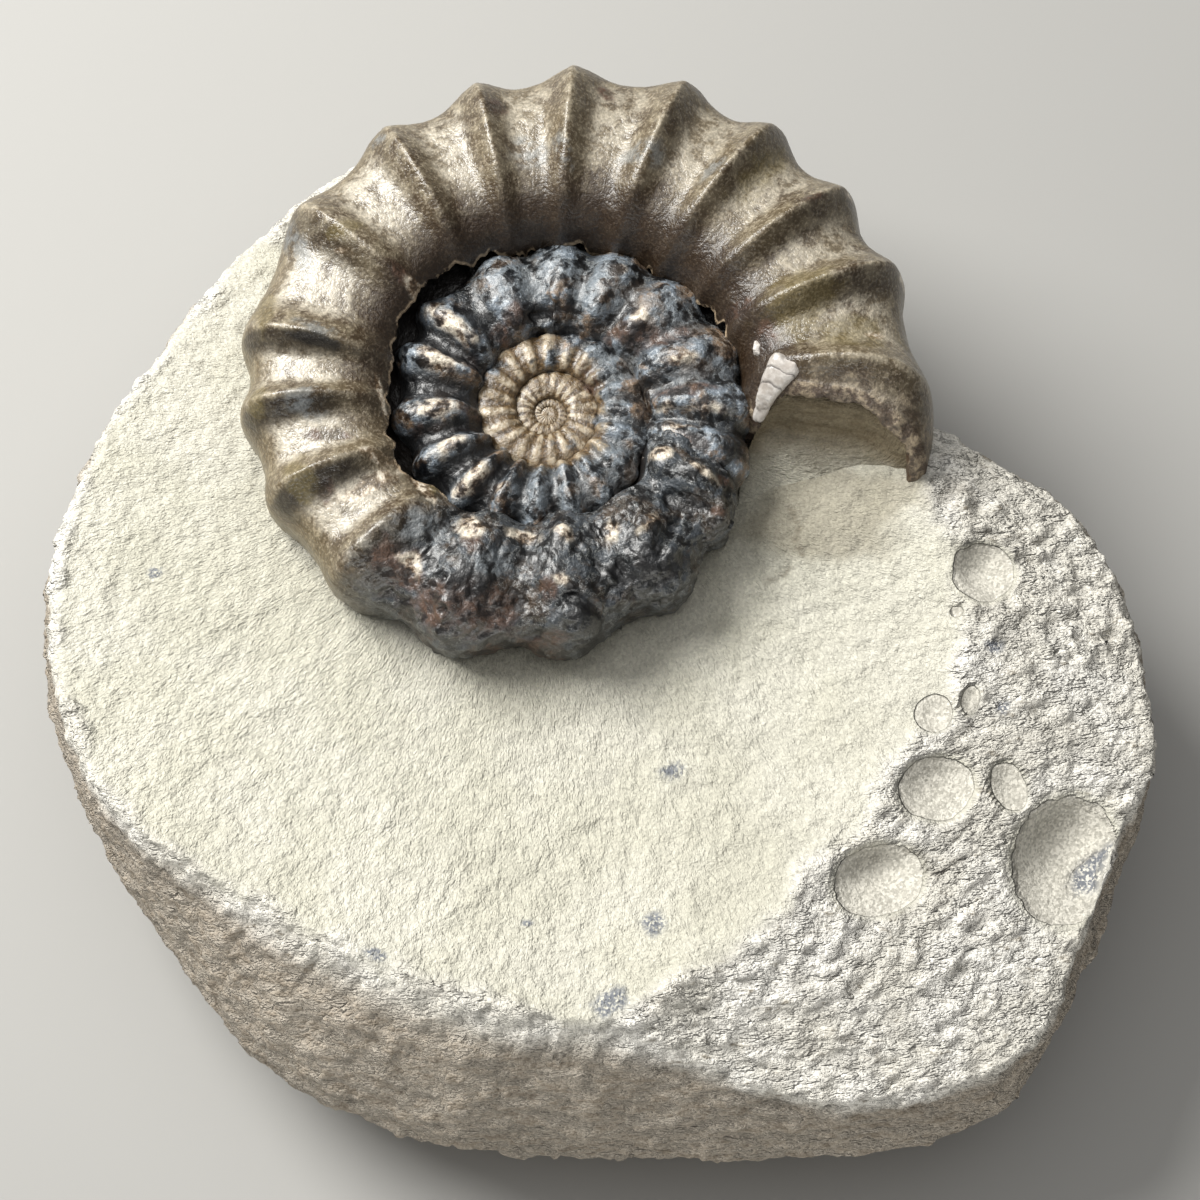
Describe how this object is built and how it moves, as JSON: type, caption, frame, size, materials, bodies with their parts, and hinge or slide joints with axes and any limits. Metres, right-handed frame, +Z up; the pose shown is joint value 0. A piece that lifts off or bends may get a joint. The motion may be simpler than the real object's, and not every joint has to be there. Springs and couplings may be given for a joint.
{
  "type": "fossil androgynoceras ammonite in matrix",
  "caption": "Coiled, ribbed fossil ammonite with its mouth cut open, lying half prepared in a rounded block of pale mudstone with a flat underside.",
  "frame": {"origin": "where the shell's coil axis meets the plane that the stone rests on", "axes": "+Z up, out of the stone's prepared face and along the coil axis; +X towards the shell's mouth; +Y towards the side where the shell overhangs the stone"},
  "size_m": [0.0978, 0.0971, 0.0352],
  "materials": {
    "mudstone": "matte",
    "fossil_shell": "gloss"
  },
  "bodies": {
    "root": {"matrix": "mudstone", "ammonite": "fossil_shell"}
  },
  "joints": []
}
